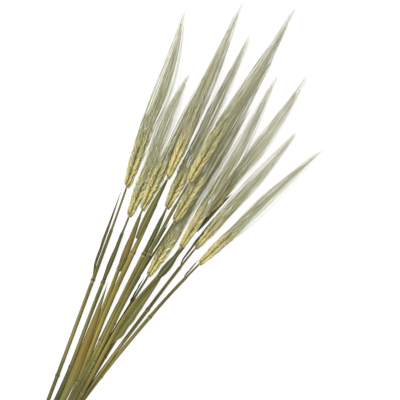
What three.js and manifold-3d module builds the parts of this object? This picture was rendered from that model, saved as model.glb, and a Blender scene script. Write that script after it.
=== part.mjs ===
// A bunch of dried barley lying on a surface: twelve stalks, the cut ends gathered and the ears fanned out.
// Each stalk is a jointed straw, a six-rowed ear of grains with long awns, and the dry blades it still has.
// Millimetres. The surface is z = 0, +Y runs from the cut ends to the awn tips, and the origin is on the flat
// spot on which the straw in the middle of the gathered ends rests.
import * as THREE from 'three';
import { mergeVertices } from 'three/addons/utils/BufferGeometryUtils.js';
import Module from 'manifold-3d';

const wasm = await Module();
wasm.setup();

// Straw: a round stem in its leaf sheath, swollen at each joint and bare above its last sheath
const STRAW_RADIUS = 1.75;
const JOINT_RADIUS = 2.25;
const JOINT_REACH = 3;
const SHEATH_LENGTH = 58;
const SHEATH_STEP = 3;
const BARE_RADIUS = 1.3;
const NECK_RADIUS = 1.1;
const STRAW_SIDES = 7;
const STRAW_STEP = 45;
const GATHER_END = 30;
const ROW_HEIGHTS = [1.45, 5.15, 8.85];
const TOUCH_GAP = 0.3;
const ROUTE_SAMPLES = 100;

// Ear: a slim core with grains in six rows, three at each step and the steps on alternate sides
const CORE_RADIUS = 2.7;
const CORE_SIDES = 6;
const CORE_TAPER = 6;
const GRAIN_LENGTH = 14;
const GRAIN_RADIUS = 2.1;
const GRAIN_BELLY = 0.42;
const GRAIN_SIDES = 4;
const GRAIN_ROOT = 1.7;
const GRAIN_LEAN = THREE.MathUtils.degToRad(14);
const GRAIN_STEP = 7.4;
const FIRST_STEP = 2;
const ROW_ANGLE = THREE.MathUtils.degToRad(58);
const ROW_LAG = 3.4;
const EAR_END_SCALE = 0.75;

// Awns: bristles that leave the grain tips, bow out past the grains above, are widest a little beyond the ear
// and close in to a narrow brush
const AWN_RADIUS = 0.42;
const AWN_BOW = 14;
const AWN_SPLAY = THREE.MathUtils.degToRad(14);
const BRUSH_FOOT_RADIUS = 5.8;
const BRUSH_WIDEST = 0.3;
const BRUSH_END_RADIUS = 1.8;
const SHORTEST_AWN = 0.9;
const MIDDLE_AWN_CYCLE = 4;

// Blades: dry leaves folded along the midrib, widest near the base and drawn out to a narrow tip
const BLADE_THICKNESS = 0.7;
const BLADE_TIP_WIDTH = 0.9;
const BLADE_STEPS = 7;
const BLADE_WIDEST = 0.3;
const BLADE_BASE_SHARE = 0.6;
const BLADE_FOLD = 0.35;
const BLADE_UNROLL = 0.6;
const BLADE_CURVE = 1.5;
const BLADE_CORNERS = 6;

// Stalks, from left to right along the fan. foot: x at the cut, x where the gathered ends part, and the row
// of the heap. cut: y of the cut end. waist, neck and tip: points half way up, under the ear and at the end
// of the awns. ear: its length. brush: how far the awns spread where they are widest. joints: how far the
// joints are from the cut end.
const STALKS = [
  { name: '01', foot: [-17, -27, 0], cut: -24, waist: [-47, 133, 3.6], neck: [-73, 262, 6],
    tip: [-120, 461, 13], ear: 67, brush: 9.2, joints: [70, 183] },
  { name: '02', foot: [-12.8, -17.5, 0], cut: -27, waist: [-37, 139, 3.6], neck: [-54, 236, 6],
    tip: [-79.5, 407, 9.5], ear: 64, brush: 7.4, joints: [88, 188] },
  { name: '03', foot: [-8.5, -9.6, 0], cut: -22, waist: [-27, 145, 6], neck: [-45, 250, 12],
    tip: [-64.5, 452, 11], ear: 62, brush: 6.6, joints: [97, 206] },
  { name: '04', foot: [-4.3, -4.3, 0], cut: -28, waist: [-23, 149, 8], neck: [-39, 294, 21],
    tip: [-69, 497, 28], ear: 66, brush: 7.6, joints: [80, 236] },
  { name: '05', foot: [-2.05, -2.05, 1], cut: -24, waist: [-11.5, 138, 5], neck: [-23.5, 265, 6],
    tip: [-44, 475, 10], ear: 56, brush: 7, joints: [128, 234] },
  { name: '06', foot: [2.05, 2.05, 1], cut: -30, waist: [-9.5, 165, 11.5], neck: [-8.5, 257, 18.5],
    tip: [-10, 466, 20.5], ear: 63, brush: 6.8, joints: [60, 158] },
  { name: '07', foot: [0, 0, 2], cut: -23, waist: [-12.5, 200, 20.5], neck: [-17, 302, 30],
    tip: [-17.4, 520, 34], ear: 78, brush: 8.2, joints: [105, 240] },
  { name: '08', foot: [0, 0, 0], cut: -27, waist: [-2, 140, 4], neck: [-1.7, 191, 6],
    tip: [-2.3, 403, 9.5], ear: 63, brush: 6.8, joints: [52, 130] },
  { name: '09', foot: [4.1, 4.1, 2], cut: -29, waist: [0, 143, 13.5], neck: [12, 236.5, 17.5],
    tip: [4.6, 449, 18], ear: 57, brush: 7, joints: [75, 170] },
  { name: '10', foot: [4.3, 4.3, 0], cut: -22, waist: [5, 143, 3.6], neck: [18.5, 276.5, 6],
    tip: [32.5, 468, 10.5], ear: 55, brush: 8, joints: [112, 204] },
  { name: '11', foot: [6.4, 6.4, 1], cut: -26, waist: [16.3, 150, 5], neck: [26.7, 244, 6],
    tip: [55, 415, 9], ear: 52, brush: 7, joints: [64, 186] },
  { name: '12', foot: [8.2, 8.2, 0], cut: -23, waist: [24.2, 158, 3.6], neck: [39.4, 232, 6],
    tip: [88.6, 408.5, 9], ear: 55, brush: 6.8, joints: [92, 178] },
];

// Blades still on the straws. at: how far the base is from the stalk's cut end. side: -1 lies to the left of
// the straw, 1 to the right and 0 on top of it. spread and lift: how far the tip stands off the base,
// sideways and upwards. roll: turn about its length. aside: how far off the straw's middle one on top lies.
const BLADES = {
  leaf_01: { stalk: '01', at: 186, length: 104, width: 3.6, side: -1, spread: 1.5, lift: 1, roll: 45 },
  leaf_02: { stalk: '02', at: 192, length: 64, width: 5.4, side: 0, spread: 1, lift: 0.5, roll: 0 },
  leaf_03_low: { stalk: '03', at: 40, length: 148, width: 9, side: 0, spread: -3.5, lift: 1, roll: 8,
    aside: -1.6 },
  leaf_03_high: { stalk: '03', at: 204, length: 66, width: 6, side: 0, spread: 0.5, lift: 0.5, roll: 0,
    aside: 0.6 },
  leaf_04: { stalk: '04', at: 256, length: 70, width: 6.4, side: 0, spread: 0.5, lift: 0.5, roll: 0,
    aside: -0.8 },
  leaf_05: { stalk: '05', at: 240, length: 46, width: 5.4, side: 0, spread: 0.5, lift: 0.5, roll: 0,
    aside: 0.6 },
  leaf_06: { stalk: '06', at: 240, length: 46, width: 3.6, side: -1, spread: 1, lift: 4, roll: 60 },
  leaf_08: { stalk: '08', at: 178, length: 36, width: 3.2, side: -1, spread: 1.5, lift: 3, roll: 70 },
  leaf_09_low: { stalk: '09', at: 138, length: 92, width: 9, side: 1, spread: 2.5, lift: 3, roll: 15 },
  leaf_09_high: { stalk: '09', at: 230, length: 34, width: 8, side: 0, spread: 0.5, lift: 0.5, roll: 0 },
  leaf_10: { stalk: '10', at: 270, length: 32, width: 5, side: 1, spread: 0, lift: 1, roll: 62 },
  leaf_11: { stalk: '11', at: 256, length: 52, width: 2.8, side: -1, spread: 4.5, lift: 4.5, roll: 60 },
  leaf_12: { stalk: '12', at: 234, length: 28, width: 2.6, side: -1, spread: 2, lift: 2, roll: 60 },
};

const strawLook = new THREE.MeshStandardMaterial({ color: 0x87803f, roughness: 0.62, metalness: 0 });
const earLook = new THREE.MeshStandardMaterial({ color: 0xb5a868, roughness: 0.68, metalness: 0 });
const bladeLook = new THREE.MeshStandardMaterial({ color: 0x5f5f34, roughness: 0.75, metalness: 0 });

const UP = new THREE.Vector3(0, 0, 1);
const MERGE_GAP = 1e-4;
const RANDOM_FACTOR = 16807;
const RANDOM_RANGE = 2147483647;

// A repeatable random number from 0 to 1 for each ear's own draw
function seededRandom(seed) {
  let state = seed;
  return () => {
    state = (state * RANDOM_FACTOR) % RANDOM_RANGE;
    return state / RANDOM_RANGE;
  };
}

// A closed geometry as a solid: shared corners merged and the faces that collapse at a pole left out
function solidOf(geometry) {
  geometry.deleteAttribute('normal');
  geometry.deleteAttribute('uv');
  const merged = mergeVertices(geometry, MERGE_GAP);
  const index = merged.index.array;
  const kept = [];
  for (let i = 0; i < index.length; i += 3) {
    const [a, b, c] = [index[i], index[i + 1], index[i + 2]];
    if (a !== b && b !== c && c !== a) kept.push(a, b, c);
  }
  const vertProperties = new Float32Array(merged.attributes.position.array);
  return new wasm.Manifold(new wasm.Mesh({ numProp: 3, vertProperties, triVerts: new Uint32Array(kept) }));
}

function geometryOf(solid) {
  const { vertProperties, triVerts } = solid.getMesh();
  const geometry = new THREE.BufferGeometry();
  geometry.setAttribute('position', new THREE.BufferAttribute(vertProperties, 3));
  geometry.setIndex(new THREE.BufferAttribute(triVerts, 1));
  geometry.computeVertexNormals();
  return geometry;
}

// The surface the bunch lies on presses a flat on whatever reaches it
const SURFACE_SPAN = 1400;
const SURFACE_DEPTH = 20;
const surfaceBlock = new THREE.BoxGeometry(SURFACE_SPAN, SURFACE_SPAN, SURFACE_DEPTH);
const belowSurface = solidOf(surfaceBlock.translate(0, 0, -SURFACE_DEPTH / 2));

function restOnSurface(solid) {
  return solid.boundingBox().min[2] < 0 ? solid.subtract(belowSurface) : solid;
}

// The centre line of a stalk, measured from its cut end, with a level and an upright direction across it
function stalkRoute({ foot, cut, waist, neck, tip }) {
  const [cutX, partX, row] = foot;
  const gathered = [[cutX, cut, ROW_HEIGHTS[row]], [partX, GATHER_END, ROW_HEIGHTS[row]]];
  const points = [...gathered, waist, neck, tip].map((point) => new THREE.Vector3(...point));
  const curve = new THREE.CatmullRomCurve3(points, false, 'centripetal');
  const stretches = points.length - 1;
  const lengths = curve.getLengths(ROUTE_SAMPLES * stretches);
  const length = lengths.at(-1);
  return {
    length,
    neck: lengths[ROUTE_SAMPLES * (stretches - 1)],
    frameAt(distance) {
      const share = THREE.MathUtils.clamp(distance / length, 0, 1);
      const along = curve.getTangentAt(share);
      const across = new THREE.Vector3().crossVectors(along, UP).normalize();
      const upright = new THREE.Vector3().crossVectors(across, along);
      return { point: curve.getPointAt(share), along, across, upright };
    },
  };
}

// Bends a shape made round the Y axis onto a path: y becomes the distance, x and z the way across
function bend(geometry, frameAt) {
  const position = geometry.attributes.position;
  for (let i = 0; i < position.count; i += 1) {
    const { point, across, upright } = frameAt(position.getY(i));
    point.addScaledVector(across, position.getX(i)).addScaledVector(upright, position.getZ(i));
    position.setXYZ(i, point.x, point.y, point.z);
  }
  return geometry;
}

function turned(outline, sides) {
  return new THREE.LatheGeometry(outline.map(([radius, at]) => new THREE.Vector2(radius, at)), sides);
}

function strawSolid(route, joints) {
  const end = route.neck - TOUCH_GAP;
  const sheathEnd = Math.min(joints.at(-1) + SHEATH_LENGTH, end - SHEATH_STEP * 4);
  const profile = [
    [STRAW_RADIUS, 0], [STRAW_RADIUS, sheathEnd], [BARE_RADIUS, sheathEnd + SHEATH_STEP], [NECK_RADIUS, end],
  ];
  for (const joint of joints) {
    profile.push([STRAW_RADIUS, joint - JOINT_REACH], [JOINT_RADIUS, joint]);
    profile.push([STRAW_RADIUS, joint + JOINT_REACH]);
  }
  for (let at = STRAW_STEP; at < sheathEnd - STRAW_STEP / 2; at += STRAW_STEP) {
    if (joints.every((joint) => Math.abs(joint - at) > STRAW_STEP / 4)) profile.push([STRAW_RADIUS, at]);
  }
  profile.sort((a, b) => a[1] - b[1]);
  return solidOf(bend(turned([[0, 0], ...profile, [0, end]], STRAW_SIDES), route.frameAt));
}

// A direction turned from one square direction towards another
function between(from, towards, angle) {
  return from.clone().multiplyScalar(Math.cos(angle)).addScaledVector(towards, Math.sin(angle));
}

// The frame of one row of grains: the way out of the ear at that turn, and the way round it
function rowFrame(frame, turn) {
  const outward = between(frame.across, frame.upright, turn);
  const sideways = new THREE.Vector3().crossVectors(frame.along, outward);
  return { ...frame, outward, sideways };
}

// A grain leaning out of the core, with or without the awn that its tip runs out to
function grainSolid(route, at, turn, scale, awn) {
  const { point, along, outward, sideways } = rowFrame(route.frameAt(at), turn);
  const root = point.addScaledVector(outward, GRAIN_ROOT);
  const lean = between(along, outward, GRAIN_LEAN);
  const facing = new THREE.Vector3().crossVectors(sideways, lean);
  const length = GRAIN_LENGTH * scale;
  const outline = [[0, 0], [GRAIN_RADIUS * scale, length * GRAIN_BELLY]];
  if (awn) {
    outline.push([AWN_RADIUS, length], [AWN_RADIUS, length + AWN_BOW]);
    if (awn.widest - at > length + 2 * AWN_BOW) outline.push([AWN_RADIUS, awn.widest - at]);
  }
  outline.push([0, awn ? awn.length : length]);
  return solidOf(bend(turned(outline, GRAIN_SIDES), (distance) => {
    if (distance < length + AWN_BOW / 2) {
      return { point: root.clone().addScaledVector(lean, distance), across: sideways, upright: facing };
    }
    const frame = rowFrame(route.frameAt(at + distance), turn + awn.splay);
    frame.point.addScaledVector(frame.outward, awn.spreadAt(at + distance));
    return { point: frame.point, across: frame.sideways, upright: frame.outward };
  }));
}

function earSolid(route, { ear, brush }, seed) {
  const random = seededRandom(seed);
  const earEnd = route.neck + ear;
  const widest = THREE.MathUtils.lerp(earEnd, route.length, BRUSH_WIDEST);
  const spreadAt = (distance) => {
    const opened = (distance - route.neck) / (widest - route.neck);
    if (opened < 1) return THREE.MathUtils.lerp(BRUSH_FOOT_RADIUS, brush, opened);
    const closed = (distance - widest) / (route.length - widest);
    return THREE.MathUtils.lerp(brush, BRUSH_END_RADIUS, closed);
  };
  const coreOutline = [
    [0, 0], [NECK_RADIUS, 0], [CORE_RADIUS, CORE_TAPER], [CORE_RADIUS, ear - CORE_TAPER], [0, ear],
  ];
  let solid = solidOf(bend(turned(coreOutline, CORE_SIDES), (at) => route.frameAt(route.neck + at)));
  const steps = Math.round((ear - GRAIN_LENGTH / 2) / GRAIN_STEP);
  for (let step = 0; step < steps; step += 1) {
    const swell = Math.sqrt(Math.sin((Math.PI * (step + 0.5)) / steps));
    const scale = THREE.MathUtils.lerp(EAR_END_SCALE, 1, swell);
    const splay = (Math.floor(step / 2) - (steps - 2) / 4) * AWN_SPLAY;
    for (const row of [-1, 0, 1]) {
      const at = route.neck + FIRST_STEP + step * GRAIN_STEP + ROW_LAG * Math.abs(row);
      const turn = (step % 2) * Math.PI + row * ROW_ANGLE;
      const full = Math.min(route.length - earEnd + GRAIN_LENGTH, route.length - at);
      const length = full * THREE.MathUtils.lerp(SHORTEST_AWN, 1, random());
      const awn = { length, splay, widest, spreadAt };
      const bears = row !== 0 || step % MIDDLE_AWN_CYCLE >= MIDDLE_AWN_CYCLE / 2;
      solid = solid.add(grainSolid(route, at, turn, scale, bears ? awn : null));
    }
  }
  return solid;
}

// A blade as a run of six-cornered sections, split into triangles alike on its upper and lower face
function bladeSolid(route, { at, length, width, side, spread, lift, roll, aside = 0 }) {
  const corners = [];
  const rollAngle = THREE.MathUtils.degToRad(roll) * (side || 1);
  const above = side ? 0 : (JOINT_RADIUS + TOUCH_GAP + BLADE_THICKNESS) * Math.hypot(1, BLADE_FOLD);
  for (let step = 0; step <= BLADE_STEPS; step += 1) {
    const share = step / BLADE_STEPS;
    const { point, across, upright } = route.frameAt(at + length * share);
    const rise = Math.sin((share / BLADE_WIDEST) * Math.PI / 2);
    const fall = Math.cos(((share - BLADE_WIDEST) / (1 - BLADE_WIDEST)) * Math.PI / 2);
    const swell = share < BLADE_WIDEST ? THREE.MathUtils.lerp(BLADE_BASE_SHARE, 1, rise) : fall;
    const half = Math.max(width * swell, BLADE_TIP_WIDTH) / 2;
    const turn = rollAngle * (1 - BLADE_UNROLL * share);
    const flat = between(across, upright, turn);
    const out = between(upright, across, -turn);
    const clear = STRAW_RADIUS + TOUCH_GAP + half * Math.abs(Math.cos(turn)) + BLADE_THICKNESS;
    point.addScaledVector(across, aside + side * clear + (side || 1) * spread * share ** 2);
    point.addScaledVector(upright, above + lift * share ** BLADE_CURVE);
    const fold = half * (side ? BLADE_FOLD : -BLADE_FOLD);
    const section = [[-half, fold], [0, 0], [half, fold]];
    const upper = section.map(([a, b]) => point.clone().addScaledVector(flat, a).addScaledVector(out, b));
    const lower = upper.map((corner) => corner.clone().addScaledVector(out, -BLADE_THICKNESS));
    corners.push(...upper, ...lower.reverse());
  }
  const ring = BLADE_CORNERS;
  const faces = [];
  for (let step = 0; step < BLADE_STEPS; step += 1) {
    for (let corner = 0; corner < ring; corner += 1) {
      const near = step * ring + corner;
      const nearNext = step * ring + (corner + 1) % ring;
      const [far, farNext] = [near + ring, nearNext + ring];
      if (corner < ring / 2) faces.push(near, nearNext, farNext, near, farNext, far);
      else faces.push(near, nearNext, far, nearNext, farNext, far);
    }
  }
  const last = BLADE_STEPS * ring;
  faces.push(0, 5, 1, 1, 5, 4, 1, 4, 2, 2, 4, 3);
  faces.push(last, last + 1, last + 5, last + 1, last + 4, last + 5, last + 1, last + 2, last + 4);
  faces.push(last + 2, last + 3, last + 4);
  const geometry = new THREE.BufferGeometry().setFromPoints(corners);
  geometry.setIndex(faces);
  return solidOf(geometry);
}

const bunch = new THREE.Group();

function addPiece(name, solid, look) {
  const mesh = new THREE.Mesh(geometryOf(restOnSurface(solid)), look);
  mesh.name = name;
  bunch.add(mesh);
}

const routes = {};
STALKS.forEach((stalk, order) => {
  const route = stalkRoute(stalk);
  routes[stalk.name] = route;
  addPiece(`straw_${stalk.name}`, strawSolid(route, stalk.joints), strawLook);
  addPiece(`ear_${stalk.name}`, earSolid(route, stalk, order + 1), earLook);
});
for (const [name, blade] of Object.entries(BLADES)) {
  addPiece(name, bladeSolid(routes[blade.stalk], blade), bladeLook);
}

export default bunch;
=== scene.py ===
import math

import bpy
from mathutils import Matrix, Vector


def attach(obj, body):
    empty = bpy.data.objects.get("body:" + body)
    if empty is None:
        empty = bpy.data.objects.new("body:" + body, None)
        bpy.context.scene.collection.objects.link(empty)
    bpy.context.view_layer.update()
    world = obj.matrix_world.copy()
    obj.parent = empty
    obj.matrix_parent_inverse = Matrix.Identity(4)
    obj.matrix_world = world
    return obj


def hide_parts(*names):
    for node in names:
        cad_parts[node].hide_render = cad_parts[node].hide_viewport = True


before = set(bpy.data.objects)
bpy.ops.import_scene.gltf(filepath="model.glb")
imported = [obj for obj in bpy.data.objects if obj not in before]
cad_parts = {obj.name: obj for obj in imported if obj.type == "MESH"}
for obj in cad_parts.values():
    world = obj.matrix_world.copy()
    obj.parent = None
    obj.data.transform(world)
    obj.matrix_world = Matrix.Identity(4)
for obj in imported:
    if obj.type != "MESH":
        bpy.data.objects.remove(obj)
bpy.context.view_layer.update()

# Stalks. Each stalk grew as one stem from its root to its ear, and was cut, dried and laid with the rest.
# Nothing ties them: they lie in a heap at the cut ends and fan out above it, each along a line of its own.
MM = 0.001
HEAP_ROWS = (1.45, 5.15, 8.85)
PARTING = 30
LINE_SAMPLES = 100
LINE_SPARE = 20 * MM
# Lines in millimetres. foot: x at the cut, x where the gathered ends part, and the row of the heap.
# cut: y of the cut end. waist: half way up. neck: under the ear. tip: the end of the awns.
STALKS = {
    "01": dict(foot=(-17, -27, 0), cut=-24, waist=(-47, 133, 3.6),
               neck=(-73, 262, 6), tip=(-120, 461, 13)),
    "02": dict(foot=(-12.8, -17.5, 0), cut=-27, waist=(-37, 139, 3.6),
               neck=(-54, 236, 6), tip=(-79.5, 407, 9.5)),
    "03": dict(foot=(-8.5, -9.6, 0), cut=-22, waist=(-27, 145, 6),
               neck=(-45, 250, 12), tip=(-64.5, 452, 11)),
    "04": dict(foot=(-4.3, -4.3, 0), cut=-28, waist=(-23, 149, 8),
               neck=(-39, 294, 21), tip=(-69, 497, 28)),
    "05": dict(foot=(-2.05, -2.05, 1), cut=-24, waist=(-11.5, 138, 5),
               neck=(-23.5, 265, 6), tip=(-44, 475, 10)),
    "06": dict(foot=(2.05, 2.05, 1), cut=-30, waist=(-9.5, 165, 11.5),
               neck=(-8.5, 257, 18.5), tip=(-10, 466, 20.5)),
    "07": dict(foot=(0, 0, 2), cut=-23, waist=(-12.5, 200, 20.5),
               neck=(-17, 302, 30), tip=(-17.4, 520, 34)),
    "08": dict(foot=(0, 0, 0), cut=-27, waist=(-2, 140, 4),
               neck=(-1.7, 191, 6), tip=(-2.3, 403, 9.5)),
    "09": dict(foot=(4.1, 4.1, 2), cut=-29, waist=(0, 143, 13.5),
               neck=(12, 236.5, 17.5), tip=(4.6, 449, 18)),
    "10": dict(foot=(4.3, 4.3, 0), cut=-22, waist=(5, 143, 3.6),
               neck=(18.5, 276.5, 6), tip=(32.5, 468, 10.5)),
    "11": dict(foot=(6.4, 6.4, 1), cut=-26, waist=(16.3, 150, 5),
               neck=(26.7, 244, 6), tip=(55, 415, 9)),
    "12": dict(foot=(8.2, 8.2, 0), cut=-23, waist=(24.2, 158, 3.6),
               neck=(39.4, 232, 6), tip=(88.6, 408.5, 9)),
}


def smooth_stretch(before, start, end, after, share):
    """A point on the smooth line from start to end, eased by the points on either side."""
    steps = [math.sqrt((b - a).length) for a, b in ((before, start), (start, end), (end, after))]
    first = (start - before) / steps[0] - (end - before) / (steps[0] + steps[1]) + (end - start) / steps[1]
    last = (end - start) / steps[1] - (after - start) / (steps[1] + steps[2]) + (after - end) / steps[2]
    first, last = first * steps[1], last * steps[1]
    square = (end - start) * 3 - first * 2 - last
    cube = (start - end) * 2 + first + last
    return start + first * share + square * share ** 2 + cube * share ** 3


def stalk_line(foot, cut, waist, neck, tip):
    """The centre line in metres, run on a little, and how far along it the neck and the awn ends are."""
    cut_x, parting_x, row = foot
    gathered = [(cut_x, cut, HEAP_ROWS[row]), (parting_x, PARTING, HEAP_ROWS[row])]
    points = [Vector(point) * MM for point in [*gathered, waist, neck, tip]]
    points = [points[0] * 2 - points[1], *points, points[-1] * 2 - points[-2]]
    line = [points[1]]
    for index in range(1, len(points) - 2):
        for sample in range(1, LINE_SAMPLES + 1):
            line.append(smooth_stretch(*points[index - 1:index + 3], sample / LINE_SAMPLES))
    runs = [0.0]
    for start, end in zip(line, line[1:]):
        runs.append(runs[-1] + (end - start).length)
    line.append(line[-1] + (line[-1] - line[-2]).normalized() * LINE_SPARE)
    return line, runs[-1 - LINE_SAMPLES], runs[-1]


lines = {name: stalk_line(**stalk) for name, stalk in STALKS.items()}

# Straws. Each is a hollow stem, swollen and closed at its joints, wrapped above each joint in a ribbed leaf
# sheath whose edge overlaps, and bare above the last sheath. The lower end is cut square and shows its bore.
STRAW_RADIUS = 1.75 * MM
JOINT_RADIUS = 2.25 * MM
BARE_RADIUS = 1.3 * MM
NECK_RADIUS = 1.1 * MM
JOINT_REACH = 1.9 * MM
SHEATH_LENGTH = 58 * MM
SHEATH_STEP = 3 * MM
SHEATH_TAPER = 80 * MM
SHEATH_OVERLAP = 0.07
BORE_SHARE = 0.68
BORE_DEPTH = 7 * MM
BROWN_REACH = 30 * MM
FOOT_END = 50 * MM
STRAW_RINGS = 210
STRAW_SIDES = 16
QUAD_CORNERS = 4
UNEVEN_SCALE = 55.0
UNEVEN_SHARE = 0.12
SHEATH_TWIST = 1.5
TWIST_STEP = 0.35
# girth: how thick the sheaths are, and foot_girth the same in the gathered ends. joints: how far the two
# joints are from the cut, in millimetres. darkened: how dark their rings are. tone: 0 green, 1 yellow.
# browned: how brown the sheath is about the place browned_at.
STRAWS = {
    "01": dict(girth=1.2, foot_girth=1.2, joints=(70, 183),
               darkened=(0.3, 1.0), tone=0.2, browned=0.2, browned_at=140),
    "02": dict(girth=1.2, foot_girth=1.7, joints=(88, 188),
               darkened=(0.3, 0.5), tone=0.05, browned=0.1, browned_at=120),
    "03": dict(girth=1.2, foot_girth=1.15, joints=(97, 206),
               darkened=(0.5, 0.4), tone=0.6, browned=1.0, browned_at=107),
    "04": dict(girth=1.6, foot_girth=1.3, joints=(80, 236),
               darkened=(1.0, 0.4), tone=0.6, browned=0.3, browned_at=150),
    "05": dict(girth=1.75, foot_girth=1.3, joints=(128, 234),
               darkened=(0.3, 1.0), tone=0.25, browned=0.1, browned_at=190),
    "06": dict(girth=1.3, foot_girth=1.15, joints=(60, 158),
               darkened=(0.4, 1.0), tone=0.35, browned=0.1, browned_at=100),
    "07": dict(girth=1.25, foot_girth=1.15, joints=(105, 240),
               darkened=(0.4, 0.5), tone=0.2, browned=0.3, browned_at=160),
    "08": dict(girth=1.2, foot_girth=1.15, joints=(52, 130),
               darkened=(0.3, 0.3), tone=0.2, browned=0.1, browned_at=90),
    "09": dict(girth=1.35, foot_girth=1.15, joints=(75, 170),
               darkened=(0.5, 0.3), tone=0.45, browned=0.3, browned_at=110),
    "10": dict(girth=1.25, foot_girth=1.15, joints=(112, 204),
               darkened=(0.3, 0.6), tone=0.3, browned=0.2, browned_at=160),
    "11": dict(girth=1.1, foot_girth=1.1, joints=(64, 186),
               darkened=(0.3, 0.4), tone=0.35, browned=0.1, browned_at=130),
    "12": dict(girth=1.1, foot_girth=1.1, joints=(92, 178),
               darkened=(0.3, 0.5), tone=0.3, browned=0.2, browned_at=130),
}


class Amount:
    """A number or a direction inside a node tree, so that a growth rule reads as plain arithmetic."""

    def __init__(self, tree, socket):
        self.tree = tree
        self.socket = socket

    def math(self, operation, *others):
        node = self.tree.nodes.new("ShaderNodeMath")
        node.operation = operation
        for entry, value in zip(node.inputs, (self, *others)):
            feed(self.tree, entry, value)
        return Amount(self.tree, node.outputs[0])

    def __add__(self, other):
        return self.math("ADD", other)

    def __sub__(self, other):
        return self.math("SUBTRACT", other)

    def __mul__(self, other):
        return self.math("MULTIPLY", other)

    def __truediv__(self, other):
        return self.math("DIVIDE", other)

    def __mod__(self, other):
        return self.math("FLOORED_MODULO", other)

    def __pow__(self, other):
        return self.math("POWER", other)

    def __radd__(self, other):
        return self.math("ADD", other)

    def __rmul__(self, other):
        return self.math("MULTIPLY", other)

    def __rsub__(self, other):
        return self.math("MULTIPLY", -1.0).math("ADD", other)

    def __abs__(self):
        return self.math("ABSOLUTE")

    def clamped(self):
        return self.math("MAXIMUM", 0.0).math("MINIMUM", 1.0)

    def eased(self, start, end):
        """0 before start, 1 after end, and smooth between them."""
        share = ((self - start) / (end - start)).clamped()
        return share * share * (3.0 - share * 2.0)

    def hump(self, centre, width):
        """1 at the centre, falling away smoothly over the width on both sides."""
        away = (self - centre) / width
        return (away * away * -1.0).math("EXPONENT")

    def towards(self, other, share):
        """This amount moved that share of the way to another."""
        return self + (other - self) * share


def feed(tree, entry, value):
    """Links a socket to what is worked out, or sets it to a plain value."""
    if isinstance(value, Amount):
        value = value.socket
    if isinstance(value, bpy.types.NodeSocket):
        tree.links.new(value, entry)
    elif entry.type == "RGBA":
        entry.default_value = (*value, 1.0)
    else:
        entry.default_value = value


def place(tree, kind, entries=None, **settings):
    """Adds one node, with its settings and its entries."""
    node = tree.nodes.new(kind)
    for key, value in settings.items():
        setattr(node, key, value)
    for key, value in (entries or {}).items():
        feed(tree, node.inputs[key], value)
    return node


def split(tree, vector):
    return [Amount(tree, out) for out in place(tree, "ShaderNodeSeparateXYZ", {0: vector}).outputs]


def joined(tree, x, y, z):
    return place(tree, "ShaderNodeCombineXYZ", {0: x, 1: y, 2: z}).outputs[0]


def vector_math(tree, operation, *values):
    return place(tree, "ShaderNodeVectorMath", dict(enumerate(values)), operation=operation).outputs[0]


def scaled(tree, vector, amount):
    return place(tree, "ShaderNodeVectorMath", {0: vector, "Scale": amount}, operation="SCALE").outputs[0]


def noted(tree, geometry, name, value, kind="FLOAT"):
    """Stores a value on every point, for the finish to read."""
    entries = {"Geometry": geometry, "Name": name, "Value": value}
    return place(tree, "GeometryNodeStoreNamedAttribute", entries, data_type=kind, domain="POINT").outputs[0]


def growth_tree(name, sizes):
    """A node tree that takes a stalk's line and named sizes. Whole numbers are given as int."""
    tree = bpy.data.node_groups.new(name, "GeometryNodeTree")
    tree.interface.new_socket(name="Line", in_out="INPUT", socket_type="NodeSocketGeometry")
    for size, kind in sizes.items():
        socket_type = "NodeSocketInt" if kind is int else "NodeSocketFloat"
        tree.interface.new_socket(name=size, in_out="INPUT", socket_type=socket_type)
    tree.interface.new_socket(name="Piece", in_out="OUTPUT", socket_type="NodeSocketGeometry")
    given = tree.nodes.new("NodeGroupInput")
    return tree, given.outputs["Line"], {size: Amount(tree, given.outputs[size]) for size in sizes}


def laid_along(tree, geometry, line, lowest):
    """Bends a straight shape onto the stalk's line: y becomes the way along it, x and z the way across it."""
    straight = tree.nodes.new("GeometryNodeInputPosition").outputs[0]
    kept = noted(tree, geometry, "straight", straight, "FLOAT_VECTOR")
    x, y, z = split(tree, straight)
    curve = place(tree, "GeometryNodeMeshToCurve", {"Mesh": line}).outputs[0]
    spot = place(tree, "GeometryNodeSampleCurve", mode="LENGTH", use_all_curves=True)
    feed(tree, spot.inputs["Curves"], curve)
    feed(tree, spot.inputs["Length"], y)
    along = spot.outputs["Tangent"]
    across = vector_math(tree, "NORMALIZE", vector_math(tree, "CROSS_PRODUCT", along, (0, 0, 1)))
    upright = vector_math(tree, "CROSS_PRODUCT", across, along)
    sideways = vector_math(tree, "ADD", spot.outputs["Position"], scaled(tree, across, x))
    spot_x, spot_y, spot_z = split(tree, vector_math(tree, "ADD", sideways, scaled(tree, upright, z)))
    resting = joined(tree, spot_x, spot_y, spot_z.math("MAXIMUM", lowest))
    return place(tree, "GeometryNodeSetPosition", {"Geometry": kept, "Position": resting}).outputs[0]


def with_finish(tree, geometry, finish):
    smooth = place(tree, "GeometryNodeSetShadeSmooth", {"Geometry": geometry}).outputs[0]
    return place(tree, "GeometryNodeSetMaterial", {"Geometry": smooth, "Material": finish}).outputs[0]


def end_tree(tree, geometry):
    whole = place(tree, "GeometryNodeRealizeInstances", {"Geometry": geometry}).outputs[0]
    place(tree, "NodeGroupOutput", {"Piece": whole})


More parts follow.
